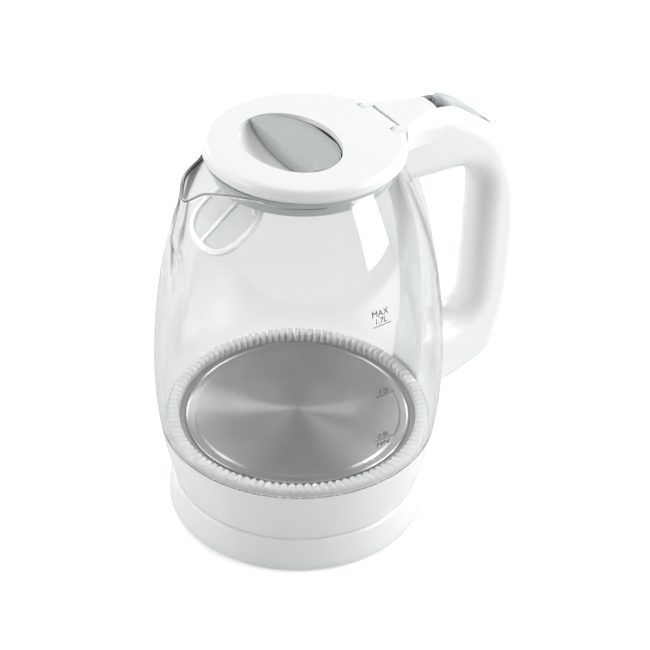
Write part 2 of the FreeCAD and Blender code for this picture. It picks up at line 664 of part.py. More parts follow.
plug_turn = turned("plug_body", [
    ("0", "neck_low"), ("plug_radius", "neck_low"), ("plug_radius", "lid_low"),
    ("lid_radius - 7", "lid_low"), ("lid_radius - 7", "lid_low + 1.2"),
    ("plug_radius - 2", "lid_low + 1.2"), ("plug_radius - 2", "neck_low + 2.2"), ("0", "neck_low + 2.2")])
rails = []
for name, degrees in (("latch_bolt_right", 120), ("latch_bolt_left", 240)):
    turn = math.radians(degrees)
    ahead = math.cos(turn)
    side = math.sin(turn)
    slot = block("0", "20", "0", "latch_width + 0.8", "0", "latch_height + 0.8")
    x = "%.6f*plug_radius + %.6f*latch_width + %.6f" % (ahead * 0.85, side / 2, side * 0.4)
    y = "%.6f*plug_radius - %.6f*latch_width - %.6f" % (side * 0.85, ahead / 2, ahead * 0.4)
    plug_cuts.append(place(slot, x, y, "window_low + 0.2", V(0, 0, 1), degrees))
    rail = block("0", "7", "0", "latch_width - 4", "0", "window_low + 0.55 - neck_low - 2.2")
    x = "%.6f*latch_inner + %.6f*latch_width - %.6f" % (ahead, side / 2, side * 2)
    y = "%.6f*latch_inner - %.6f*latch_width + %.6f" % (side, ahead / 2, ahead * 2)
    rails.append(place(rail, x, y, "neck_low + 2.2", V(0, 0, 1), degrees))
    bolt = block("0", "latch_outer - latch_inner", "0", "latch_width", "0", "latch_height")
    x = "%.6f*latch_inner + %.6f*latch_width" % (ahead, side / 2)
    y = "%.6f*latch_inner - %.6f*latch_width" % (side, ahead / 2)
    node(place(bolt, x, y, "window_low + 0.6", V(0, 0, 1), degrees), name)
node(fuse([cut(plug_turn, plug_cuts)] + rails), "lid_plug")
node(turned("lid_seal_body", [
    ("plug_radius", "neck_low + 1"), ("plug_radius + 0.5", "neck_low + 1"),
    ("plug_radius + 0.5", "neck_low + 3"), ("plug_radius", "neck_low + 3")]), "lid_seal")

# handle
reach = size("handle_reach")
top = size("handle_top")
front = size("handle_front")
foot = size("handle_foot")
outline = [
    (front, size("lid_edge_top"), 0), (reach - 53, top, 30), (reach - 16, top - 24.5, 50),
    (reach + 0.2, top - 64.5, 90), (reach - 0.4, foot + 56.5, 90), (reach - 11, foot + 17.5, 22),
    (front + 24, foot, 0), (front, foot, 0)]
grip = reach - size("grip_depth")
opening = [
    (front - 12, size("gap_top") + 0.5, 0), (grip + 0.5, size("gap_top") - 1, 20),
    (grip - 0.5, size("gap_bottom"), 16), (front - 12, size("gap_bottom"), 0)]
width = size("handle_half_width")
loop = slab(outline, width)
loop = loop.cut(slab(opening, width + 5))


def rim_edges(shape):
    """Edges of both side faces, apart from those buried in the jug."""
    found = []
    for line in shape.Edges:
        box = line.BoundBox
        flat = box.YMax - box.YMin < 1e-4 and abs(abs(box.YMin) - width) < 1e-4
        if flat and box.XMax > front + 1:
            found.append(line)
    return found


loop = loop.makeFillet(size("handle_round"), rim_edges(loop))
jacket = barrel(size("seat_gap"), foot - 20, size("glass_top") - 0.5)
spine = barrel(size("spine_depth"), size("gap_bottom") - 6, size("gap_top") + 6)
strip = Part.makeBox(120, 2 * size("spine_half_width"), 400, V(30, -size("spine_half_width"), 0))
spine = spine.common(strip)
loop = loop.fuse(spine).cut(jacket)

seam = size("lid_edge_top")
parting = [(front - 32, seam - 10.9, 0), (front + 118, seam - 31.4, 0),
           (front + 118, seam + 80, 0), (front - 32, seam + 80, 0)]
above = slab(parting, 40)
cavity = slab([
    (front + 12.5, size("gap_top") + 6.5, 0), (reach - 36, size("gap_top") + 6.5, 0),
    (reach - 30.5, top - 25.5, 0), (reach - 30.5, top - 19, 0), (reach - 47, top - 8, 0),
    (reach - 55, top - 4.4, 0), (front + 12.5, top - 5, 0)], size("cavity_half_width"))
tail_z = top - 0.662 * (size("switch_tail") - reach + 53) - 0.2
slot = slab([
    (size("switch_front") - 3.4, top + 9, 0), (size("switch_front") - 3.4, top - 10, 0),
    (size("switch_tail") - 6, tail_z - 3, 0), (size("switch_tail") + 0.8, tail_z - 3, 0),
    (size("switch_tail") + 0.8, top + 9, 0)], size("switch_half_width") + size("switch_gap"))


def bar(radius, x, z, half):
    return Part.makeCylinder(radius, 2 * half, V(x, -half, z), V(0, 1, 0))


pin_x = size("switch_pin_x")
pin_z = size("switch_pin_z")
screw_x = size("switch_tail") - 2
pin = size("pin_radius")
lower = loop.cut(above).cut(cavity)
lower = lower.cut(Part.makeCylinder(pin, 16, V(screw_x, 0, tail_z - 18)))
for y in (-5, 5):
    start = V(size("belly_radius") - 10.6, y, foot + 4.9)
    lower = lower.cut(Part.makeCylinder(pin, 12.7, start, V(1, 0, 0)))
node(plain(lower.removeSplitter()), "handle_body")

hinge_x = size("hinge_x")
hinge_z = size("hinge_z")
ear = size("ear_outer")
knuckle_half = size("barrel_half") + size("hinge_gap")


def arch(x, half_width, soft):
    """Section across the front of the top cover, with rounded shoulders."""
    low = size("lid_edge_top") - 12.9 - (x - front) * 0.13
    high = size("lid_edge_top") + (x - front) * 0.05
    side = high - soft
    lean = soft * (1 - math.sqrt(0.5))
    left = [V(x, -half_width, low), V(x, -half_width, side), V(x, lean - half_width, high - lean),
            V(x, soft - half_width, high)]
    right = [V(s.x, -s.y, s.z) for s in left]
    edges = [Part.LineSegment(left[0], left[1]), Part.Arc(*left[1:]), Part.LineSegment(left[3], right[3]),
             Part.Arc(*reversed(right[1:])), Part.LineSegment(right[1], right[0]),
             Part.LineSegment(right[0], left[0])]
    return Part.Wire([edge.toShape() for edge in edges])


sections = [arch(front, ear, 2.5), arch(front + 7, ear - 2, 5), arch(front + 15, width + 0.4, 8)]
sections.append(arch(front + 22, width - 0.6, 10))
flare = Part.makeLoft(sections, True, False)
ears = Part.makeBox(front - hinge_x + 1, 2 * ear, 2 * size("hinge_radius"),
                    V(hinge_x, -ear, hinge_z - size("hinge_radius")))
ears = ears.fuse(bar(size("hinge_radius"), hinge_x, hinge_z, ear))
gap_bar = bar(size("hinge_radius") + size("hinge_gap"), hinge_x, hinge_z, knuckle_half)
gap_corner = V(hinge_x - 4.4, -knuckle_half, hinge_z - 10)
gap_box = Part.makeBox(front - hinge_x + 4.4, 2 * knuckle_half, 20, gap_corner)
ears = ears.cut(gap_box)
upper = loop.common(above).fuse(flare).cut(cavity).cut(slot).cut(jacket)
upper = upper.fuse(ears).cut(gap_bar).cut(bar(pin, hinge_x, hinge_z, ear - 0.5))
slot_corner = V(front - 5, -9.2, size("glass_top"))
tongue_slot = Part.makeBox(size("neck_tongue_end") - front + 6, 18.4, 2.2, slot_corner)
upper = upper.cut(tongue_slot).cut(bar(pin, pin_x, pin_z, 11.5))
upper = upper.cut(Part.makeCylinder(pin, 20, V(screw_x, 0, tail_z - 18)))
upper = upper.cut(Part.makeCylinder(2.8, 3, V(screw_x, 0, tail_z - 4.6)))
node(plain(upper.removeSplitter()), "handle_top_cover")
screw = Part.makeCylinder(2.6, 1.4, V(screw_x, 0, tail_z - 4.6))
screw = screw.fuse(Part.makeCylinder(pin, 13.4, V(screw_x, 0, tail_z - 18)))
node(plain(screw.removeSplitter()), "cover_screw")
node(plain(bar(pin, pin_x, pin_z, 11.5)), "switch_pin")

# power switch and steam switch in the handle
key_front = size("switch_front")
key_tail = size("switch_tail")
key = slab([
    (key_front, top + 2.2, 1.2), (key_front + 9, top - 0.4, 12), (key_tail, tail_z, 1),
    (key_tail - 2.5, tail_z - 1.6, 0), (pin_x + 5, top - 13.5, 2), (pin_x + 3.2, pin_z - 3.2, 3),
    (pin_x - 3.2, pin_z - 3.2, 3), (pin_x - 5, top - 10.5, 2), (key_front, top - 5.5, 1)],
    size("switch_half_width"))
key = key.cut(bar(pin + size("pin_fit"), pin_x, pin_z, 12))
node(plain(key.removeSplitter()), "power_switch")
seat = size("gap_top") + 6.5
node(plain(Part.makeBox(24, 15, 9, V(front + 16, -7.5, seat))), "steam_switch")
node(plain(Part.makeCylinder(5, 1, V(front + 30, 0, seat + 9))), "bimetal_disc")

doc.recompute()
os.makedirs("parts", exist_ok=True)
for obj in doc.Objects:
    if "Invalid" in obj.State or "Error" in obj.State:
        raise RuntimeError("%s did not compute: %s" % (obj.Label, obj.State))
for obj in NODES:
    if obj.Shape.isNull() or not obj.Shape.isValid():
        raise RuntimeError("%s has no valid shape" % obj.Label)
    obj.Shape.exportStep("parts/%s.step" % obj.Label)
    print(obj.Label, len(obj.Shape.Solids), round(obj.Shape.Volume, 1))
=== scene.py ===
"""Looks of a glass electric kettle on its power base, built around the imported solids."""

import json
import math

import bmesh
import bpy
from bpy.props import FloatProperty, FloatVectorProperty, IntProperty, PointerProperty
from mathutils import Matrix, Vector


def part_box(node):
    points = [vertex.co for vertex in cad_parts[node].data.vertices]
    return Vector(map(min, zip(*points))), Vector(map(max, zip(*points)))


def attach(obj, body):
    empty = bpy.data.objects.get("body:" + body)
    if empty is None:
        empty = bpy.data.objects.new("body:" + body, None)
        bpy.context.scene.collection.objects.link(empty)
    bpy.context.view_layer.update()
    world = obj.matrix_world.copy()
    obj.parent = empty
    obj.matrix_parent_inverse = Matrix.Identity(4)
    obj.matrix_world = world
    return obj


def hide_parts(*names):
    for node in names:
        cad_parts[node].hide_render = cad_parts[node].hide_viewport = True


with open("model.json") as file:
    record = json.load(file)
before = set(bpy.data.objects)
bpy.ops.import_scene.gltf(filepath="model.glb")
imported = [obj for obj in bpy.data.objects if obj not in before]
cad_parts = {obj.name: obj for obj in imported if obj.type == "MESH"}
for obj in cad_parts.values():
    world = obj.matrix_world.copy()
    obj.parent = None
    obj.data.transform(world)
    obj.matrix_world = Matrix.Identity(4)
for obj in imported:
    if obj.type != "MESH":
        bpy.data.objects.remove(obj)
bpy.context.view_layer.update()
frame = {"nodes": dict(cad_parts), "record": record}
NODES = frame["nodes"]
RECORD = frame["record"]

bl_info = {
    "name": "Glass kettle",
    "version": (1, 0, 0),
    "blender": (4, 5, 0),
    "location": "View3D > Sidebar > Kettle",
    "description": "Dresses the kettle's solids with glass, steel, moulded plastic and print",
    "category": "Object",
}

MM = 0.001
MERGE_DISTANCE = 1e-6
SHARP_ANGLE = math.radians(35)


def low(node):
    """Lowest corner of a solid's box."""
    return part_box(node)[0]


def high(node):
    """Highest corner of a solid's box."""
    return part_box(node)[1]


class KettleSizes(bpy.types.PropertyGroup):
    """Sizes of the new pieces, in metres."""

    belly: FloatProperty(name="Belly radius", description="Widest radius of the glass",
                         default=79 * MM, unit="LENGTH")
    belly_height: FloatProperty(name="Belly height", description="Height of the widest ring",
                                default=86 * MM, unit="LENGTH")
    lower_arc: FloatProperty(name="Lower arc", description="Radius of the wall under the belly",
                             default=230 * MM, unit="LENGTH")
    upper_arc: FloatProperty(name="Upper arc", description="Radius of the wall over the belly",
                             default=380 * MM, unit="LENGTH")
    shoulder_height: FloatProperty(name="Shoulder height", description="Where the shoulder starts",
                                   default=150 * MM, unit="LENGTH")
    shoulder_arc: FloatProperty(name="Shoulder arc", description="Radius of the shoulder",
                                default=200 * MM, unit="LENGTH")
    wall: FloatProperty(name="Glass wall", description="Thickness of the glass",
                        default=3 * MM, unit="LENGTH")
    spout_low: FloatProperty(name="Spout foot", description="Height where the spout leaves the wall",
                             default=150 * MM, unit="LENGTH")
    spout_reach: FloatProperty(name="Spout reach", description="Distance of the tip from the axis",
                               default=67.5 * MM, unit="LENGTH")
    spout_half_width: FloatProperty(name="Spout half width",
                                    description="Half the width of the beak at the rim",
                                    default=23 * MM, unit="LENGTH")
    lip_dip: FloatProperty(name="Lip dip", description="How far the spout's tip lies below the rim",
                           default=4.1 * MM, unit="LENGTH")
    lip_rise: FloatProperty(name="Lip rise",
                            description="How far the spout's sides stand above the rim",
                            default=2.8 * MM, unit="LENGTH")
    filter_length: FloatProperty(name="Filter length", description="Length of the spout filter",
                                 default=39 * MM, unit="LENGTH")
    filter_half_width: FloatProperty(name="Filter half width",
                                     description="Half the width of the spout filter",
                                     default=22 * MM, unit="LENGTH")
    filter_border: FloatProperty(name="Filter border", description="Width of the filter's rim",
                                 default=3.2 * MM, unit="LENGTH")
    cover_start: FloatProperty(name="Cover start", description="From the hinge ears to the arm's skin",
                               default=7.8 * MM, unit="LENGTH")
    cover_length: FloatProperty(name="Cover length", description="Length of the arm's smooth skin",
                                default=25 * MM, unit="LENGTH")
    cover_half_width: FloatProperty(name="Cover half width", description="Half the width of the arm",
                                    default=14.3 * MM, unit="LENGTH")
    cover_flare: FloatProperty(name="Cover flare", description="Half the width at the hinge",
                               default=18.4 * MM, unit="LENGTH")
    ring_ribs: IntProperty(name="Ribs", description="Ribs round the light ring", default=106, min=12)


class KettleColours(bpy.types.PropertyGroup):
    """Colours of the finishes."""

    white: FloatVectorProperty(name="White moulding", description="Housing, lid and handle",
                               subtype="COLOR", size=3, default=(0.87, 0.88, 0.88))
    grey: FloatVectorProperty(name="Grey moulding", description="Lid tab and switch",
                              subtype="COLOR", size=3, default=(0.46, 0.485, 0.485))
    glass: FloatVectorProperty(name="Glass tint", description="Clear glass",
                               subtype="COLOR", size=3, default=(0.975, 0.985, 0.98))
    steel: FloatVectorProperty(name="Steel", description="Heating plate",
                               subtype="COLOR", size=3, default=(0.38, 0.38, 0.385))
    ink: FloatVectorProperty(name="Print", description="Level marks on the glass",
                             subtype="COLOR", size=3, default=(0.012, 0.012, 0.013))
    floor: FloatVectorProperty(name="Floor", description="Studio sweep",
                               subtype="COLOR", size=3, default=(0.64, 0.64, 0.64))


def sizes():
    return bpy.context.scene.kettle_sizes


def colours():
    return bpy.context.scene.kettle_colours


NOISE_SPAN = (0.25, 0.75)
RAMP_ENDS = (0.3, 0.7)
GLASS_BODY = (0.46, 0.5, 0.49, 1)
GLASS_SHADOW = 0.12
LIP_CLEARNESS = 0.55
# Finger scoop of the lid, and the painted shade laid into it behind the tab, where the gap lies in
# shadow.
SCOOP_SHIFT = 7
SCOOP_HALF_LENGTH = 24
SCOOP_HALF_WIDTH = 32.5
SCOOP_EDGE = (0.99, 0.975)
SCOOP_PAINTED_SHADE_START = (8 * MM, 10 * MM)
SCOOP_PAINTED_SHADE = (0.02, 0.02, 0.021, 1)
THREAD_EDGE = (0.55, 0.8)
THREAD_COVER = (0.14, 0.42)


def set_sockets(node, sockets):
    """Set a node's inputs by their names, written with underscores for spaces."""
    for key, value in sockets.items():
        node.inputs[key.replace("_", " ")].default_value = value


def add_node(tree, kind, **sockets):
    node = tree.nodes.new("ShaderNode" + kind)
    set_sockets(node, sockets)
    return node


def link(tree, source, socket, target, name):
    tree.links.new(source.outputs[socket], target.inputs[name])


def new_finish(name, colour, roughness, **sockets):
    """Node material with a Principled shader; sockets are set by their names."""
    mat = bpy.data.materials.new(name)
    mat.use_nodes = True
    shader = mat.node_tree.nodes["Principled BSDF"]
    set_sockets(shader, {"Base_Color": (*colour, 1.0), "Roughness": roughness, **sockets})
    return mat, mat.node_tree, shader


def toned(colour, share):
    """Colour made darker or lighter by a share, kept at or under white."""
    return [min(1.0, c * share) for c in colour]


def object_noise(tree, scale, detail=3.0):
    coords = add_node(tree, "TexCoord")
    noise = add_node(tree, "TexNoise", Scale=scale, Detail=detail)
    link(tree, coords, "Object", noise, "Vector")
    return noise


def ranged(tree, source, socket, span, target=(0.0, 1.0)):
    """Map Range node that carries a span of one number over to a target span."""
    remap = add_node(tree, "MapRange", From_Min=span[0], From_Max=span[1],
                     To_Min=target[0], To_Max=target[1])
    link(tree, source, socket, remap, "Value")
    return remap


def spread(tree, source, first, last):
    """Factor of a texture carried over to a narrow range of one number."""
    return ranged(tree, source, "Fac", NOISE_SPAN, (first, last))


def combined(tree, operation, first, second):
    """Output of a Math node that joins two outputs."""
    node = add_node(tree, "Math")
    node.operation = operation
    tree.links.new(first, node.inputs[0])
    tree.links.new(second, node.inputs[1])
    return node.outputs["Value"]


def shade_between(tree, source, first, second):
    ramp = add_node(tree, "ValToRGB")
    for element, position, colour in zip(ramp.color_ramp.elements, RAMP_ENDS, (first, second)):
        element.position = position
        element.color = (*colour, 1)
    link(tree, source, "Fac", ramp, "Fac")
    return ramp


def add_bump(tree, shader, source, strength, distance):
    bump = add_node(tree, "Bump", Strength=strength, Distance=distance)
    link(tree, source, "Fac", bump, "Height")
    link(tree, bump, "Normal", shader, "Normal")


def moulded(name, colour, roughness, grain=0.04, **sockets):
    """Moulded plastic: soft colour drift, satin spread and a fine grain."""
    mat, tree, shader = new_finish(name, colour, roughness, **sockets)
    drift = object_noise(tree, scale=420.0)
    tone = shade_between(tree, drift, toned(colour, 0.998), toned(colour, 1.001))
    link(tree, tone, "Color", shader, "Base Color")
    satin = spread(tree, object_noise(tree, scale=600.0), roughness * 0.985, roughness * 1.015)
    link(tree, satin, "Result", shader, "Roughness")
    add_bump(tree, shader, object_noise(tree, scale=2600.0, detail=2.0), grain, 0.04 * MM)
    return mat


def clear(name, tint, roughness):
    """Drawn glass, faintly wavy and frosted at the lip; most lamp light passes through it."""
    mat, tree, shader = new_finish(name, tint, roughness, Transmission_Weight=1.0, IOR=1.5)
    drift = object_noise(tree, scale=9.0, detail=1.0)
    tone = shade_between(tree, drift, toned(tint, 0.992), tint)
    link(tree, tone, "Color", shader, "Base Color")
    haze = spread(tree, object_noise(tree, scale=60.0), roughness * 0.6, roughness * 1.4)
    link(tree, haze, "Result", shader, "Roughness")
    add_bump(tree, shader, drift, 0.02, 0.4 * MM)
    lip = add_node(tree, "Attribute")
    lip.attribute_name = "lip"
    frost = spread(tree, lip, 1.0, LIP_CLEARNESS)
    link(tree, frost, "Result", shader, "Transmission Weight")
    paths = add_node(tree, "LightPath")
    passing = ranged(tree, paths, "Is Shadow Ray", (0.0, 1.0), (1.0, GLASS_SHADOW))
    link(tree, passing, "Result", shader, "Alpha")
    body = add_node(tree, "VolumeAbsorption", Color=GLASS_BODY, Density=5.0)
    link(tree, body, "Volume", tree.nodes["Material Output"], "Volume")
    return mat


def ribbed(name, colour, roughness):
    """Moulded plastic with fine wavy ribs running across the object."""
    mat = moulded(name, colour, roughness)
    tree = mat.node_tree
    coords = add_node(tree, "TexCoord")
    ribs = add_node(tree, "TexWave", Scale=185.0, Distortion=2.5, Detail_Scale=0.35)
    ribs.bands_direction = "X"
    link(tree, coords, "Object", ribs, "Vector")
    add_bump(tree, tree.nodes["Principled BSDF"], ribs, 0.8, 0.3 * MM)
    return mat


def scoop_painted_shade(name, colour, roughness):
    """White moulding with painted shade: its finger scoop is coloured near black behind the tab."""
    mat = moulded(name, colour, roughness)
    tree = mat.node_tree
    shader = tree.nodes["Principled BSDF"]
    tone = shader.inputs["Base Color"].links[0].from_node
    coords = add_node(tree, "TexCoord")
    across = add_node(tree, "Mapping", Location=(SCOOP_SHIFT / SCOOP_HALF_LENGTH, 0, 0),
                      Scale=(1 / (SCOOP_HALF_LENGTH * MM), 1 / (SCOOP_HALF_WIDTH * MM), 0))
    link(tree, coords, "Object", across, "Vector")
    reach = add_node(tree, "VectorMath")
    reach.operation = "LENGTH"
    link(tree, across, "Vector", reach, "Vector")
    within = ranged(tree, reach, "Value", SCOOP_EDGE)
    parts = add_node(tree, "SeparateXYZ")
    link(tree, coords, "Object", parts, "Vector")
    behind = ranged(tree, parts, "X", SCOOP_PAINTED_SHADE_START)
    both = combined(tree, "MULTIPLY", within.outputs["Result"], behind.outputs["Result"])
    # Painted shade: the scoop's colour goes near black behind the tab, standing in for the shadow in
    # the gap.
    blend = add_node(tree, "MixRGB", Color2=SCOOP_PAINTED_SHADE)
    tree.links.new(both, blend.inputs["Fac"])
    link(tree, tone, "Color", blend, "Color1")
    link(tree, blend, "Color", shader, "Base Color")
    return mat


def turned_metal(name, colour, roughness, turn):
    """Metal brushed in circles about the upright axis; turn says how strongly."""
    mat, tree, shader = new_finish(name, colour, roughness, Metallic=1.0, Anisotropic=turn,
                                   Anisotropic_Rotation=0.25)
    coords = add_node(tree, "TexCoord")
    rings = add_node(tree, "TexWave", Scale=900.0, Distortion=1.5)
    rings.wave_type = "RINGS"
    rings.rings_direction = "Z"
    link(tree, coords, "Object", rings, "Vector")
    streak = object_noise(tree, scale=40.0)
    tone = shade_between(tree, streak, toned(colour, 0.94), toned(colour, 1.05))
    link(tree, tone, "Color", shader, "Base Color")
    grain = spread(tree, rings, roughness * 0.85, roughness * 1.2)
    link(tree, grain, "Result", shader, "Roughness")
    tangent = add_node(tree, "Tangent")
    tangent.direction_type = "RADIAL"
    tangent.axis = "Z"
    link(tree, tangent, "Tangent", shader, "Tangent")
    return mat


def woven(name, colour):
    """Fine square mesh: threads with half open holes between them."""
    mat, tree, shader = new_finish(name, colour, 0.5)
    coords = add_node(tree, "TexCoord")
    threads = []
    for direction in ("Y", "Z"):
        wave = add_node(tree, "TexWave", Scale=700.0)
        wave.bands_direction = direction
        link(tree, coords, "Object", wave, "Vector")
        threads.append(wave.outputs["Fac"])
    most = combined(tree, "MAXIMUM", *threads).node
    cover = ranged(tree, most, "Value", THREAD_EDGE, THREAD_COVER)
    link(tree, cover, "Result", shader, "Alpha")
    return mat


FINISHES = {}
OWN_FINISH = {"lid_tab": "tab", "lid_cover": "lid"}


def finish(name):
    return FINISHES[name]


def build_finishes():
    c = colours()
    FINISHES["white"] = moulded("white_moulding", c.white, 0.27)
    FINISHES["grey"] = moulded("grey_moulding", c.grey, 0.36)
    # Painted light: the switch gets the tab's grey a fifth lighter, standing in for the light on the
    # arm's top.
    FINISHES["switch"] = moulded("switch_moulding_painted_light", toned(c.grey, 1.2), 0.36)
    FINISHES["tab"] = ribbed("ribbed_grey_moulding", c.grey, 0.36)
    FINISHES["lid"] = scoop_painted_shade("lid_moulding_painted_shade", c.white, 0.27)
    FINISHES["glass"] = clear("drawn_glass", c.glass, 0.004)
    FINISHES["clear"] = moulded("clear_moulding", (0.7, 0.715, 0.715), 0.08, grain=0.02,
                                Transmission_Weight=0.3, IOR=1.49)
    FINISHES["filter"] = moulded("frosted_moulding", (0.86, 0.87, 0.87), 0.3)
    FINISHES["steel"] = turned_metal("brushed_steel", c.steel, 0.3, turn=0.9)
    FINISHES["aluminium"] = turned_metal("cast_aluminium", (0.66, 0.66, 0.67), 0.4, turn=0.2)
    FINISHES["screw"] = turned_metal("plated_screw", (0.55, 0.55, 0.55), 0.35, turn=0.3)
    FINISHES["brass"] = turned_metal("contact_brass", (0.7, 0.5, 0.2), 0.3, turn=0.4)
    FINISHES["rubber"] = moulded("seal_rubber", (0.16, 0.17, 0.175), 0.5, grain=0.25)
    FINISHES["dark"] = moulded("dark_moulding", (0.05, 0.05, 0.055), 0.45, grain=0.2)
    FINISHES["board"] = moulded("board_mask", (0.75, 0.77, 0.74), 0.4)
    FINISHES["mesh"] = woven("filter_weave", (0.6, 0.62, 0.62))
    FINISHES["print"] = moulded("level_print", c.ink, 0.5)


class KETTLE_OT_finishes(bpy.types.Operator):
    """Make the finishes and give every carried solid the one of its slot"""

    bl_idname = "kettle.finishes"
    bl_label = "Finishes"

    def execute(self, context):
        build_finishes()
        slots = {part["node"]: part["material_slot"] for part in RECORD["subparts"]}
        for name, node in NODES.items():
            node.data.materials.clear()
            node.data.materials.append(finish(OWN_FINISH.get(name, slots[name])))
        return {"FINISHED"}


def settle(name, mesh_data, body, material, replaced=()):
    """Link a finished bmesh as one smooth piece that rides on a body."""
    bmesh.ops.remove_doubles(mesh_data, verts=mesh_data.verts, dist=MERGE_DISTANCE)
    bmesh.ops.recalc_face_normals(mesh_data, faces=mesh_data.faces)
    data = bpy.data.meshes.new(name)
    mesh_data.to_mesh(data)
    mesh_data.free()
    data.materials.append(material)
    data.shade_smooth()
    data.set_sharp_from_angle(angle=SHARP_ANGLE)
    piece = bpy.data.objects.new(name, data)
    bpy.context.scene.collection.objects.link(piece)
    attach(piece, body)
    if replaced:
        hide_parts(*replaced)


def spun(points, steps):
    """Bmesh of a closed profile of (radius, height) turned about the upright axis."""
    work = bmesh.new()
    spots = [work.verts.new((r, 0, z)) for r, z in points]
    for first, second in zip(spots, spots[1:] + spots[:1]):
        work.edges.new((first, second))
    bmesh.ops.spin(work, geom=work.verts[:] + work.edges[:], cent=(0, 0, 0), axis=(0, 0, 1),
                   angle=math.tau, steps=steps, use_merge=True)
    return work


def barrel_radius(z, grow=0.0):
    """Radius of the jug's wall at height z, moved out by grow."""
    s = sizes()
    rise = s.shoulder_height - s.belly_height
    out = Vector((math.sqrt(s.upper_arc ** 2 - rise ** 2), rise)).normalized()
    centre = Vector((s.belly - s.lower_arc, s.belly_height))
    arc = s.lower_arc + grow
    if z > s.belly_height:
        centre = Vector((s.belly - s.upper_arc, s.belly_height))
        arc = s.upper_arc + grow
        if z > s.belly_height + out.y * arc:
            centre = centre + out * (s.upper_arc - s.shoulder_arc)
            arc = s.shoulder_arc + grow
    return centre.x + math.sqrt(arc ** 2 - (z - centre.y) ** 2)


GLASS_LEVELS = 64
GLASS_STEPS = 360
LIP_STEPS = 8
# Turns are in radians, away from the spout's middle.
LIP_FROST_TURN = 0.7
SPOUT_TURN = 1.5
TIP_TURN = 0.16
SIDE_TURN = 0.2
SIDE_FALL = 3
BEAK_ROOT = 0.42
BEAK_SOFTNESS = 0.14
BEAK_BLEND = 10 * MM
BEAK_HALVINGS = 24


class KETTLE_OT_glass(bpy.types.Operator):
    """Turn the glass jug and draw its spout out of the shoulder"""

    bl_idname = "kettle.glass"
    bl_label = "Glass jug"

    def execute(self, context):
        s = sizes()
        bottom, top = low("glass_jug").z, high("glass_jug").z
        lip = s.wall * 0.5
        levels = [bottom + (top - bottom) * i / GLASS_LEVELS for i in range(GLASS_LEVELS)]
        outer = [(barrel_radius(z), z) for z in levels]
        outer.append((barrel_radius(top - lip), top - lip))
        inner = [(barrel_radius(z, -s.wall), z) for z in reversed(levels)]
        inner.insert(0, (barrel_radius(top - lip, -s.wall), top - lip))
        middle = (outer[-1][0] + inner[0][0]) / 2
        half = (outer[-1][0] - inner[0][0]) / 2
        turns = [math.pi * i / LIP_STEPS for i in range(1, LIP_STEPS)]
        rim = [(middle + half * math.cos(a), top - lip + lip * math.sin(a)) for a in turns]
        work = spun(outer + rim + inner, GLASS_STEPS)
        lip_layer = work.verts.layers.float.new("lip")
        for vert in work.verts:
            turn = abs(math.atan2(vert.co.y, -vert.co.x))
            height = max(0.0, (vert.co.z - top + lip) / lip)
            vert[lip_layer] = height * max(0.0, 1 - turn / LIP_FROST_TURN)
            self.draw_spout(vert, turn, s, top)
        settle("glass_wall", work, "jug", finish("glass"), ["glass_jug"])
        return {"FINISHED"}

    @staticmethod
    def beak_radius(turn, tip, half_width, root, power):
        """Distance from the axis to the beak's outline in one direction."""
        near, far = root * 0.2, tip
        for _ in range(BEAK_HALVINGS):
            mid = (near + far) / 2
            ahead = max(0.0, mid * math.cos(turn) - root) / (tip - root)
            aside = math.hypot(mid * math.sin(turn) / half_width, BEAK_SOFTNESS) - BEAK_SOFTNESS
            if ahead ** power + aside ** power > 1:
                far = mid
            else:
                near = mid
        return near

    def draw_spout(self, vert, turn, s, top):
        """Move one point of the wall out along the beak, blending into the shoulder."""
        rise = min(1.0, (vert.co.z - s.spout_low) / (top - s.spout_low))
        if rise <= 0 or turn > SPOUT_TURN:
            return
        radius = math.hypot(vert.co.x, vert.co.y)
        wall = barrel_radius(min(vert.co.z, top))
        # The wall thins, the tip reaches out and the beak narrows on the way up.
        depth = (wall - radius) * (1 - 0.4 * rise ** 2)
        tip = wall + (s.spout_reach - barrel_radius(top)) * rise ** 1.8
        half_width = s.spout_half_width * (1 + 0.5 * (1 - rise) ** 1.5)
        power = 2 - 0.65 * rise
        beak = self.beak_radius(turn, tip, half_width, BEAK_ROOT * s.spout_reach, power) - depth
        blend = BEAK_BLEND * (1 - turn / SPOUT_TURN) * min(1.0, rise * 2) ** 2
        gap = beak - radius
        grow = 1 + 0.5 * (gap + math.sqrt(gap ** 2 + blend ** 2)) / radius
        vert.co.x *= grow
        vert.co.y *= grow
        dip = 0.5 + 0.5 * math.cos(math.pi * min(1.0, turn / TIP_TURN))
        away = max(SIDE_TURN - turn, (turn - SIDE_TURN) / SIDE_FALL)
        side = max(0.0, 1 - away / TIP_TURN)
        vert.co.z += (s.lip_rise * side ** 2 * (3 - 2 * side) - s.lip_dip * dip) * rise ** 3


RING_DEPTH = 7.1 * MM
RING_FOOT = 1 * MM
# Points of the ring's rounded edges, in mm from its outside or inside and down from its top.
RING_OUTER_EDGE = ((0, 1.6), (0.5, 0.5), (1.6, 0))
RING_INNER_EDGE = ((2.6, 0), (1.0, 0.5), (0.3, 1.4), (0, 2.6), (0, 5.5))
STEPS_PER_RIB = 6
FLUTE_DEPTH = 2.0 * MM
FLUTE_REACH = 6 * MM
FLUTE_CROWN = 0.6 * MM
FLUTE_DROP = 0.9 * MM


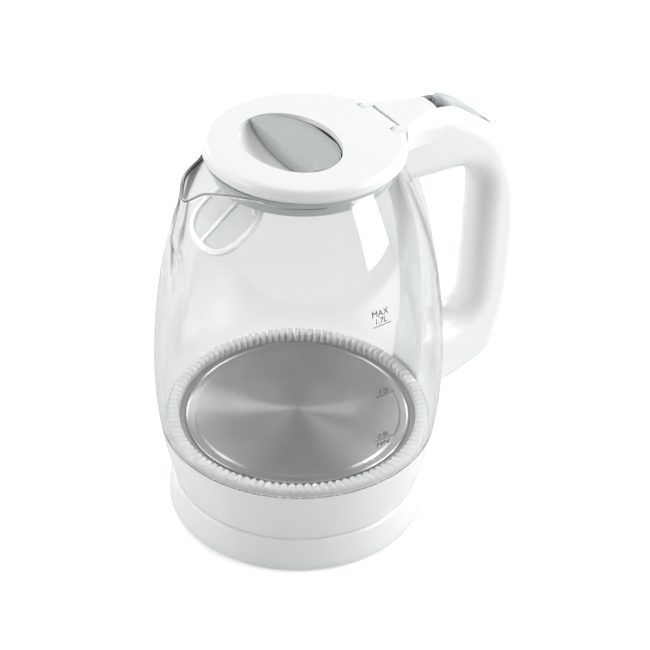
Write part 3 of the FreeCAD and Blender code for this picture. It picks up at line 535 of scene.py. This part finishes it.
class KETTLE_OT_light_ring(bpy.types.Operator):
    """Turn the clear light ring and flute its inner face"""

    bl_idname = "kettle.light_ring"
    bl_label = "Light ring"

    def execute(self, context):
        s = sizes()
        outside = high("light_ring").x
        inside = outside - RING_DEPTH
        bottom, top = low("light_ring").z, high("light_ring").z
        profile = [(inside, bottom), (outside, bottom)]
        profile += [(outside - back * MM, top - down * MM) for back, down in RING_OUTER_EDGE]
        profile += [(inside + back * MM, top - down * MM) for back, down in RING_INNER_EDGE]
        work = spun(profile, s.ring_ribs * STEPS_PER_RIB)
        for vert in work.verts:
            if vert.co.z < bottom + RING_FOOT:
                continue
            radius = math.hypot(vert.co.x, vert.co.y)
            turn = math.atan2(vert.co.y, vert.co.x)
            dip = 1 - abs(math.sin(turn * s.ring_ribs / 2))
            share = max(0.0, 1 - (radius - inside) / FLUTE_REACH)
            grow = 1 + share * FLUTE_DEPTH * dip / radius
            vert.co.x *= grow
            vert.co.y *= grow
            if vert.co.z > top - FLUTE_CROWN:
                vert.co.z -= FLUTE_DROP * dip
        settle("light_ring_fluted", work, "jug", finish("clear"), ["light_ring"])
        return {"FINISHED"}


# Heights of the filter's seat and pegs count from the neck ring's lower edge.
FILTER_SEAT = (-28 * MM, -4.5 * MM)
FILTER_LEAN = math.radians(55)
LEAF_SEGMENTS = 72
LEAF_POWER = 0.75
RIM_THICKNESS = 2.2 * MM
RIM_BEVEL = 0.4 * MM
RIM_BEVEL_ANGLE = 0.9
RIB_DEPTH = 2.0 * MM
RIB_WIDTH = 2.6 * MM
RIB_SHORTER = 4 * MM
RIB_BACK = 1.1 * MM
PEG_SPOT = (-38.5 * MM, 20 * MM, -1.5 * MM)
PEG_RADIUS = 1.3 * MM
PEG_LENGTH = 5 * MM
SCREEN_INSET = 1 * MM
SCREEN_THICKNESS = 0.3 * MM
SCREEN_BACK = 0.9 * MM


class KETTLE_OT_filter(bpy.types.Operator):
    """Mould the spout filter's frame and stretch its mesh, leaning out from the neck"""

    bl_idname = "kettle.filter"
    bl_label = "Spout filter"

    def execute(self, context):
        s = sizes()
        neck = low("neck_ring").z
        seat = Matrix.Translation((FILTER_SEAT[0], 0, neck + FILTER_SEAT[1]))
        seat = seat @ Matrix.Rotation(FILTER_LEAN, 4, "Y")
        rim = self.rim(s)
        bmesh.ops.transform(rim, matrix=seat, verts=rim.verts)
        for side in (-1, 1):
            peg = bmesh.ops.create_cone(rim, cap_ends=True, segments=24, radius1=PEG_RADIUS,
                                        radius2=PEG_RADIUS, depth=PEG_LENGTH)["verts"]
            spot = (PEG_SPOT[0], side * PEG_SPOT[1], neck + PEG_SPOT[2])
            bmesh.ops.translate(rim, verts=peg, vec=spot)
        settle("filter_rim", rim, "jug", finish("filter"), ["filter_frame"])
        screen = self.screen(s)
        bmesh.ops.transform(screen, matrix=seat, verts=screen.verts)
        settle("filter_screen", screen, "jug", finish("mesh"), ["filter_mesh"])
        return {"FINISHED"}

    @staticmethod
    def leaf(s):
        """Flat rounded leaf hanging in the YZ plane from its upper edge."""
        work = bmesh.new()
        bmesh.ops.create_circle(work, cap_ends=True, segments=LEAF_SEGMENTS, radius=1.0)
        for vert in work.verts:
            across, along = vert.co.x, vert.co.y
            wide = s.filter_half_width * math.copysign(abs(across) ** LEAF_POWER, across)
            fall = s.filter_length * (0.5 - 0.5 * math.copysign(abs(along) ** LEAF_POWER, along))
            vert.co = (0, wide, -fall)
        work.normal_update()
        return work

    def rim(self, s):
        """Border of the leaf, thickened, with one rib down its middle."""
        work = self.leaf(s)
        border = bmesh.ops.inset_region(work, faces=work.faces, use_boundary=True, use_even_offset=True,
                                        thickness=s.filter_border)["faces"]
        inner = [face for face in work.faces if face not in border]
        bmesh.ops.delete(work, geom=inner, context="FACES")
        bmesh.ops.solidify(work, geom=work.faces[:], thickness=RIM_THICKNESS)
        rib = bmesh.ops.create_cube(work, size=1.0)["verts"]
        bmesh.ops.scale(work, verts=rib, vec=(RIB_DEPTH, RIB_WIDTH, s.filter_length - RIB_SHORTER))
        bmesh.ops.translate(work, verts=rib, vec=(-RIB_BACK, 0, -s.filter_length / 2))
        corners = [edge for edge in work.edges if edge.calc_face_angle(0) > RIM_BEVEL_ANGLE]
        bmesh.ops.bevel(work, geom=corners, offset=RIM_BEVEL, segments=2, profile=0.5,
                        affect="EDGES", material=-1, clamp_overlap=True)
        return work

    def screen(self, s):
        """Thin sheet a little smaller than the leaf."""
        work = self.leaf(s)
        edge = bmesh.ops.inset_region(work, faces=work.faces, use_boundary=True,
                                      thickness=SCREEN_INSET)["faces"]
        bmesh.ops.delete(work, geom=edge, context="FACES")
        bmesh.ops.solidify(work, geom=work.faces[:], thickness=SCREEN_THICKNESS)
        bmesh.ops.translate(work, verts=work.verts, vec=(-SCREEN_BACK, 0, 0))
        return work


def draped(columns, rows, spot, thickness):
    """Bmesh of a sheet laid over spot(along, across), both counted from 0 to 1, then thickened."""
    work = bmesh.new()
    bmesh.ops.create_grid(work, x_segments=columns, y_segments=rows, size=0.5)
    for vert in work.verts:
        vert.co = spot(vert.co.x + 0.5, vert.co.y + 0.5)
    work.normal_update()
    bmesh.ops.solidify(work, geom=work.faces[:], thickness=thickness)
    return work


PAD_GRID = (56, 24)
PAD_THICKNESS = 3 * MM
PAD_NOSE = 0.3
PAD_POINT = 0.2
PAD_TAPER = 2.4
PAD_RISE = 0.6 * MM
PAD_HEEL = 1.5 * MM
PAD_SIDE_ROLL = 4.6 * MM
PAD_FRONT_ROLL = 1.8 * MM
PAD_FRONT_SHARE = 0.1
PAD_HOLLOW = 0.7 * MM


class KETTLE_OT_switch(bpy.types.Operator):
    """Shape the power switch as a smooth pad, rounded in front and pointed behind"""

    bl_idname = "kettle.switch"
    bl_label = "Power switch"

    def execute(self, context):
        front, back = low("power_switch"), high("power_switch")
        work = draped(*PAD_GRID, lambda along, across: self.spot(front, back, along, across),
                      PAD_THICKNESS)
        settle("switch_pad", work, "switch", finish("switch"), ["power_switch"])
        return {"FINISHED"}

    @staticmethod
    def spot(front, back, along, across):
        """Point of the pad's upper face, with rolled edges and a shallow finger hollow."""
        side = 2 * across - 1
        if along < PAD_NOSE:
            wide = math.sqrt(max(0.0, 1 - (1 - along / PAD_NOSE) ** 2))
        else:
            wide = 1 - ((along - PAD_NOSE) / (1 - PAD_NOSE)) ** PAD_TAPER
        wide = max(PAD_POINT, wide) * back.y
        fall = (back.z - front.z - PAD_HEEL) * (0.35 * along + 0.65 * along ** 2)
        height = back.z + PAD_RISE - fall
        roll = PAD_SIDE_ROLL * abs(side) ** 5
        roll += PAD_FRONT_ROLL * max(0.0, 1 - along / PAD_FRONT_SHARE) ** 2
        hollow = PAD_HOLLOW * (1 - side ** 2) * math.sin(math.pi * along)
        return (front.x + (back.x - front.x) * along, wide * side, height - roll - hollow)


SKIN_GRID = (40, 64)
SKIN_THICKNESS = 0.5 * MM
SKIN_BELOW_LID = 1.1 * MM
SKIN_LIFT = 0.35 * MM
SKIN_RISE = 1.35 * MM
SKIN_SHOULDER = 11 * MM
SKIN_SHARPER = 8 * MM
SKIN_DROP = 13.1 * MM
SKIN_DROP_SLOPE = 0.13


class KETTLE_OT_arm_cover(bpy.types.Operator):
    """Lay the smooth upper skin of the arm from the lid's hinge to the switch"""

    bl_idname = "kettle.arm_cover"
    bl_label = "Arm cover"

    def execute(self, context):
        s = sizes()
        crown = high("lid_cover").z - SKIN_BELOW_LID
        start = low("handle_top_cover").x + s.cover_start
        work = draped(*SKIN_GRID, lambda along, across: self.spot(s, crown, start, along, across),
                      SKIN_THICKNESS)
        settle("arm_cover_skin", work, "jug", finish("white"))
        return {"FINISHED"}

    @staticmethod
    def spot(s, crown, start, along, across):
        """Point of an arch whose shoulders grow rounder towards the handle."""
        x = start + s.cover_length * along
        half = s.cover_half_width + (s.cover_flare - s.cover_half_width) * (1 - along) ** 2
        soft = SKIN_SHOULDER - SKIN_SHARPER * (1 - along)
        top = crown + SKIN_LIFT + SKIN_RISE * along
        drop = SKIN_DROP + SKIN_DROP_SLOPE * (x - start)
        flat, bend = half - soft, soft * math.pi / 2
        travel = (2 * across - 1) * (flat + bend + drop - soft)
        way, side = abs(travel), math.copysign(1, travel)
        if way < flat:
            return (x, travel, top)
        if way < flat + bend:
            turn = (way - flat) / soft
            return (x, side * (flat + soft * math.sin(turn)), top - soft + soft * math.cos(turn))
        return (x, side * half, top - soft - (way - flat - bend))


# Each word with the height of its foot and its size, and the heights of the lines, in mm.
MARK_WORDS = (("MAX", 160.9, 3.4), ("1.7L", 156.9, 3.2), ("1.0L", 116.6, 3.2), ("0.5L", 88.9, 3.0),
              ("MIN", 83.2, 3.2))
MARK_LINES = (155.8, 115.6, 87.7)
MARK_SIDE = math.radians(-87.5)
MARK_LIFT = 0.06 * MM
LETTER_SCALE = 1.4
LETTER_EDGE = 0.8 * MM
LINE_LENGTH = 11.5 * MM
LINE_WIDTH = 0.35 * MM
LINE_SHIFT = 0.5 * MM


class KETTLE_OT_marks(bpy.types.Operator):
    """Print the level marks on the glass beside the handle"""

    bl_idname = "kettle.marks"
    bl_label = "Level marks"

    def execute(self, context):
        work = bmesh.new()
        for text, height, size in MARK_WORDS:
            self.write(context, work, text, height * MM, size * MM * LETTER_SCALE)
        for height in MARK_LINES:
            line = bmesh.ops.create_grid(work, x_segments=12, y_segments=1, size=0.5)["verts"]
            bmesh.ops.scale(work, verts=line, vec=(LINE_LENGTH, LINE_WIDTH, 1))
            bmesh.ops.translate(work, verts=line, vec=(LINE_SHIFT, height * MM, 0))
        for vert in work.verts:
            z = vert.co.y
            radius = barrel_radius(z) + MARK_LIFT
            turn = MARK_SIDE + vert.co.x / radius
            vert.co = (radius * math.cos(turn), radius * math.sin(turn), z)
        settle("level_marks", work, "jug", finish("print"))
        return {"FINISHED"}

    @staticmethod
    def write(context, work, text, height, scale):
        """Add one word to the bmesh, flat in the XY plane; small text fills badly, so it is scaled."""
        curve = bpy.data.curves.new("mark", "FONT")
        curve.body = text
        curve.align_x = "CENTER"
        holder = bpy.data.objects.new("mark", curve)
        context.scene.collection.objects.link(holder)
        context.view_layer.update()
        solved = holder.evaluated_get(context.evaluated_depsgraph_get())
        data = bpy.data.meshes.new_from_object(solved)
        part = bmesh.new()
        part.from_mesh(data)
        bmesh.ops.scale(part, verts=part.verts, vec=[scale] * 3)
        long_edges = [edge for edge in part.edges if edge.calc_length() > LETTER_EDGE]
        bmesh.ops.subdivide_edges(part, edges=long_edges, cuts=1)
        bmesh.ops.translate(part, verts=part.verts, vec=(0, height, 0))
        part.to_mesh(data)
        part.free()
        work.from_mesh(data)
        bpy.data.objects.remove(holder)
        bpy.data.curves.remove(curve)
        bpy.data.meshes.remove(data)


SWEEP_HALF = 4.0
FLOOR_DRIFT = 0.01
FLOOR_LIFTS = (("Is Camera Ray", 0.5), ("Is Glossy Ray", 0.05), ("Is Transmission Ray", 0.01))
SKY_LOW = (0.05, (0.5, 0.51, 0.51, 1))
SKY_HIGH = (0.45, (0.12, 0.124, 0.124, 1))
SKY_STRENGTH = 0.7
SKY_THROUGH_GLASS = 0.4
WHITE = (1, 1, 1, 1)
# Name, place to the right of, beyond and above the object from the camera, size and power.
LAMPS = (
    ("top", (0.0, 0.1, 2.1), 1.3, 10.2),
    ("left", (-1.15, 0.3, 1.2), 0.8, 6.0),
    ("right", (1.15, 0.3, 1.2), 0.8, 11.8),
    ("low_left", (-1.4, -0.5, 0.55), 0.7, 10.4),
    ("low_right", (1.4, -0.45, 0.55), 0.7, 12.0),
    ("back_left", (-0.75, 1.3, 0.7), 0.5, 8.0),
    ("back_right", (0.8, 1.3, 0.7), 0.5, 5.0),
)
LAMP_AIM = Vector((0, 0, 0.12))
CAMERA_SIDE = math.radians(-32)
CAMERA_PITCH = math.radians(35.135)
CAMERA_YAW = math.radians(1.075)
CAMERA_ROLL = math.radians(1.5215)
CAMERA_SPOT = Vector((0, -0.75235, 0.6429))
CAMERA_LENS = 94.085
CAMERA_SENSOR = 36
CAMERA_CLIP = 0.05


class KETTLE_OT_stage(bpy.types.Operator):
    """Set up the white sweep, the soft lamps and the camera"""

    bl_idname = "kettle.stage"
    bl_label = "Stage"

    def execute(self, context):
        scene = context.scene
        scene.view_settings.view_transform = "Standard"
        work = bmesh.new()
        bmesh.ops.create_grid(work, x_segments=2, y_segments=2, size=SWEEP_HALF)
        data = bpy.data.meshes.new("sweep")
        work.to_mesh(data)
        work.free()
        floor = bpy.data.objects.new("sweep", data)
        scene.collection.objects.link(floor)
        data.materials.append(self.floor_finish())
        self.sky(scene)
        for name, place, size, power in LAMPS:
            self.lamp(scene, name, place, size, power)
        self.camera(scene)
        return {"FINISHED"}

    @staticmethod
    def floor_finish():
        """Pale floor that keeps its shadow and looks lighter to the camera, metal and glass."""
        colour = colours().floor
        mat, tree, shader = new_finish("studio_floor", colour, 0.8, Emission_Color=WHITE)
        ramp = shade_between(tree, object_noise(tree, scale=3.0), colour,
                             [c + FLOOR_DRIFT for c in colour])
        link(tree, ramp, "Color", shader, "Base Color")
        paths = add_node(tree, "LightPath")
        lifts = [ranged(tree, paths, ray, (0.0, 1.0), (0.0, lift)) for ray, lift in FLOOR_LIFTS]
        seen = lifts[0].outputs["Result"]
        for lift in lifts[1:]:
            seen = combined(tree, "MAXIMUM", seen, lift.outputs["Result"])
        tree.links.new(seen, shader.inputs["Emission Strength"])
        return mat

    @staticmethod
    def sky(scene):
        """Grey dome, darker overhead, that is white to the camera and partly so through glass."""
        world = bpy.data.worlds.new("studio")
        world.use_nodes = True
        tree = world.node_tree
        coords = add_node(tree, "TexCoord")
        parts = add_node(tree, "SeparateXYZ")
        link(tree, coords, "Generated", parts, "Vector")
        ramp = add_node(tree, "ValToRGB")
        for element, (position, colour) in zip(ramp.color_ramp.elements, (SKY_LOW, SKY_HIGH)):
            element.color = colour
            element.position = position
        link(tree, parts, "Z", ramp, "Fac")
        shade = tree.nodes["Background"]
        shade.inputs["Strength"].default_value = SKY_STRENGTH
        link(tree, ramp, "Color", shade, "Color")
        paths = add_node(tree, "LightPath")
        through = ranged(tree, paths, "Is Transmission Ray", (0.0, 1.0), (0.0, SKY_THROUGH_GLASS))
        most = combined(tree, "MAXIMUM", paths.outputs["Is Camera Ray"], through.outputs["Result"])
        seen = add_node(tree, "Background", Color=WHITE)
        choice = add_node(tree, "MixShader")
        tree.links.new(most, choice.inputs["Fac"])
        link(tree, shade, "Background", choice, 1)
        link(tree, seen, "Background", choice, 2)
        link(tree, choice, "Shader", tree.nodes["World Output"], "Surface")
        scene.world = world

    @staticmethod
    def lamp(scene, name, place, size, power):
        """Soft square lamp aimed at the object."""
        data = bpy.data.lights.new(name, "AREA")
        data.shape = "SQUARE"
        data.size = size
        data.energy = power
        lamp = bpy.data.objects.new(name, data)
        lamp.location = Matrix.Rotation(CAMERA_SIDE, 3, "Z") @ Vector(place)
        aim = LAMP_AIM - lamp.location
        lamp.rotation_euler = aim.to_track_quat("-Z", "Y").to_euler()
        scene.collection.objects.link(lamp)

    @staticmethod
    def camera(scene):
        """Camera of the photograph: place, tilt and lens in the shared frame."""
        flat, down = math.cos(CAMERA_PITCH), -math.sin(CAMERA_PITCH)
        ahead = Vector((math.sin(CAMERA_YAW) * flat, math.cos(CAMERA_YAW) * flat, down))
        right = Vector((math.cos(CAMERA_YAW), -math.sin(CAMERA_YAW), 0))
        above = right.cross(ahead)
        side = right * math.cos(CAMERA_ROLL) + above * math.sin(CAMERA_ROLL)
        up = above * math.cos(CAMERA_ROLL) - right * math.sin(CAMERA_ROLL)
        swing = Matrix.Rotation(CAMERA_SIDE, 3, "Z")
        turn = Matrix([swing @ axis for axis in (side, up, -ahead)]).transposed()
        data = bpy.data.cameras.new("camera")
        data.sensor_width = CAMERA_SENSOR
        data.lens = CAMERA_LENS
        data.clip_start = CAMERA_CLIP
        view = bpy.data.objects.new("camera", data)
        view.matrix_world = Matrix.Translation(swing @ CAMERA_SPOT) @ turn.to_4x4()
        scene.collection.objects.link(view)
        scene.camera = view


class KETTLE_PT_panel(bpy.types.Panel):
    """Lists the kettle's pieces in the sidebar"""

    bl_idname = "KETTLE_PT_panel"
    bl_label = "Glass kettle"
    bl_space_type = "VIEW_3D"
    bl_region_type = "UI"
    bl_category = "Kettle"

    def draw(self, context):
        for step in STEPS:
            self.layout.operator(step.bl_idname)


STEPS = (KETTLE_OT_finishes, KETTLE_OT_glass, KETTLE_OT_light_ring, KETTLE_OT_filter, KETTLE_OT_switch,
         KETTLE_OT_arm_cover, KETTLE_OT_marks, KETTLE_OT_stage)
CLASSES = (KettleSizes, KettleColours, *STEPS, KETTLE_PT_panel)


def register():
    for cls in CLASSES:
        bpy.utils.register_class(cls)
    bpy.types.Scene.kettle_sizes = PointerProperty(type=KettleSizes)
    bpy.types.Scene.kettle_colours = PointerProperty(type=KettleColours)


def unregister():
    del bpy.types.Scene.kettle_colours
    del bpy.types.Scene.kettle_sizes
    for cls in reversed(CLASSES):
        bpy.utils.unregister_class(cls)


def main():
    register()
    for step in STEPS:
        group, name = step.bl_idname.split(".")
        getattr(getattr(bpy.ops, group), name)()


if __name__ == "__main__":
    main()
